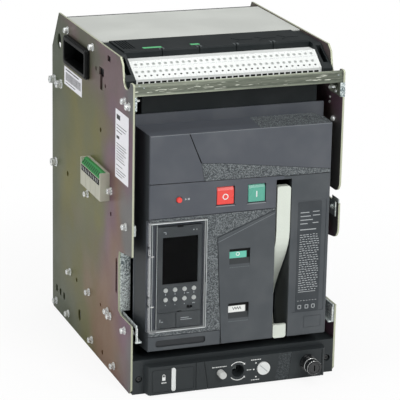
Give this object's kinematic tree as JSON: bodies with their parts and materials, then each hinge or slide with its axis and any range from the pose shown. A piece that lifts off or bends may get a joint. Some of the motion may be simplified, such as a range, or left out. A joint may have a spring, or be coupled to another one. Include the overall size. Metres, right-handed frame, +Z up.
{
  "type": "withdrawable air circuit breaker",
  "caption": "Withdrawable air circuit breaker in its draw-out cradle, with racking unit, trip unit, push buttons and charging handle.",
  "frame": {"origin": "middle of the base bolt pattern, on the face that the cradle stands on", "axes": "+X to the right of someone facing the breaker, +Y to the back, +Z up; the front faces -Y"},
  "size_m": [0.3015, 0.42, 0.43],
  "materials": {
    "passivated_zinc": "yellow-iridescent passivated zinc plating on sheet steel",
    "bright_zinc": "bright zinc-plated sheet steel",
    "pale_grey_sheet": "pale grey paint",
    "black_moulding": "black thermoset moulding",
    "dark_grey_moulding": "dark grey moulding",
    "grey_moulding": "anthracite moulding, part smooth and part spark-eroded",
    "white_moulding": "white moulding",
    "off_white_moulding": "off-white moulding",
    "light_grey_moulding": "light grey moulding",
    "beige_moulding": "beige moulding",
    "red_moulding": "red moulding",
    "green_moulding": "green moulding",
    "printed_flag": "printed indicator flag",
    "clear_moulding": "clear polycarbonate",
    "display_glass": "black display window",
    "tinned_copper": "tinned copper bar",
    "bare_copper": "bare copper contact fingers",
    "black_lacquered_metal": "black lacquered metal"
  },
  "bodies": {
    "cradle": {"left_side_plate": "passivated_zinc", "right_side_plate": "passivated_zinc", "base_plate": "bright_zinc", "front_crossbar": "bright_zinc", "top_cover": "pale_grey_sheet", "rear_base": "black_moulding", "upper_terminals": "tinned_copper", "lower_terminals": "tinned_copper", "terminal_carrier": "black_moulding", "terminal_brackets": "black_moulding", "secondary_terminals": "white_moulding", "left_guide_bracket": "bright_zinc", "right_guide_bracket": "bright_zinc", "left_grip_rim": "black_moulding", "right_grip_rim": "black_moulding", "position_contacts": "beige_moulding", "position_contact_plug": "green_moulding", "racking_unit": "dark_grey_moulding", "racking_screw": "bright_zinc", "key_lock_body": "black_lacquered_metal"},
    "breaker": {"breaker_housing": "black_moulding", "contact_clusters": "bare_copper", "mask_flange": "grey_moulding", "front_mask": "grey_moulding", "upper_panels": "grey_moulding", "button_panel": "grey_moulding", "indicator_panel": "grey_moulding", "lower_panel": "grey_moulding", "label_panel": "grey_moulding", "state_flags": "printed_flag", "handle_pin": "bright_zinc", "trip_unit": "grey_moulding", "trip_display": "display_glass", "trip_keys": "light_grey_moulding"},
    "left_rail": {"left_guide_rail": "bright_zinc"},
    "right_rail": {"right_guide_rail": "bright_zinc"},
    "off_push": {"off_button": "red_moulding"},
    "on_push": {"on_button": "green_moulding"},
    "reset_push": {"reset_button": "red_moulding"},
    "handle": {"charging_handle": "off_white_moulding"},
    "clear_cover": {"trip_cover": "clear_moulding"},
    "padlock_bar": {"padlock_slide": "white_moulding"},
    "racking_release": {"release_button": "light_grey_moulding"},
    "dial": {"position_dial": "white_moulding"},
    "lock_barrel": {"key_lock_barrel": "black_lacquered_metal"}
  },
  "joints": [
    {"name": "draw_out", "type": "slide", "parent": "cradle", "child": "breaker", "axis": [0, -1, 0], "range_m": [0, 0.24]},
    {"name": "left_rail_pull", "type": "slide", "parent": "cradle", "child": "left_rail", "axis": [0, -1, 0], "range_m": [0, 0.24]},
    {"name": "right_rail_pull", "type": "slide", "parent": "cradle", "child": "right_rail", "axis": [0, -1, 0], "range_m": [0, 0.24]},
    {"name": "off_button_push", "type": "slide", "parent": "breaker", "child": "off_push", "axis": [0, 1, 0], "range_m": [0, 0.005], "stiffness_N_per_m": 1500},
    {"name": "on_button_push", "type": "slide", "parent": "breaker", "child": "on_push", "axis": [0, 1, 0], "range_m": [0, 0.005], "stiffness_N_per_m": 1500},
    {"name": "reset_button_push", "type": "slide", "parent": "breaker", "child": "reset_push", "axis": [0, 1, 0], "range_m": [0, 0.003], "stiffness_N_per_m": 1500},
    {"name": "handle_pull", "type": "hinge", "parent": "breaker", "child": "handle", "pos_m": [0.058, -0.1765, 0.068], "axis": [1, 0, 0], "range_deg": [0, 75], "stiffness_Nm_per_rad": 1.5},
    {"name": "cover_swing", "type": "hinge", "parent": "breaker", "child": "clear_cover", "pos_m": [-0.119, -0.1825, 0.158], "axis": [0, 0, -1], "range_deg": [0, 110]},
    {"name": "padlock_bar_pull", "type": "slide", "parent": "cradle", "child": "padlock_bar", "axis": [0, -1, 0], "range_m": [0, 0.018]},
    {"name": "release_button_push", "type": "slide", "parent": "cradle", "child": "racking_release", "axis": [0, 1, 0], "range_m": [0, 0.004], "stiffness_N_per_m": 1500},
    {"name": "dial_turn", "type": "hinge", "parent": "cradle", "child": "dial", "pos_m": [0.035, -0.1915, 0.022], "axis": [0, -1, 0], "range_deg": [0, 90]},
    {"name": "key_lock_turn", "type": "hinge", "parent": "cradle", "child": "lock_barrel", "pos_m": [0.097, -0.1975, 0.023], "axis": [0, -1, 0], "range_deg": [0, 90]}
  ]
}
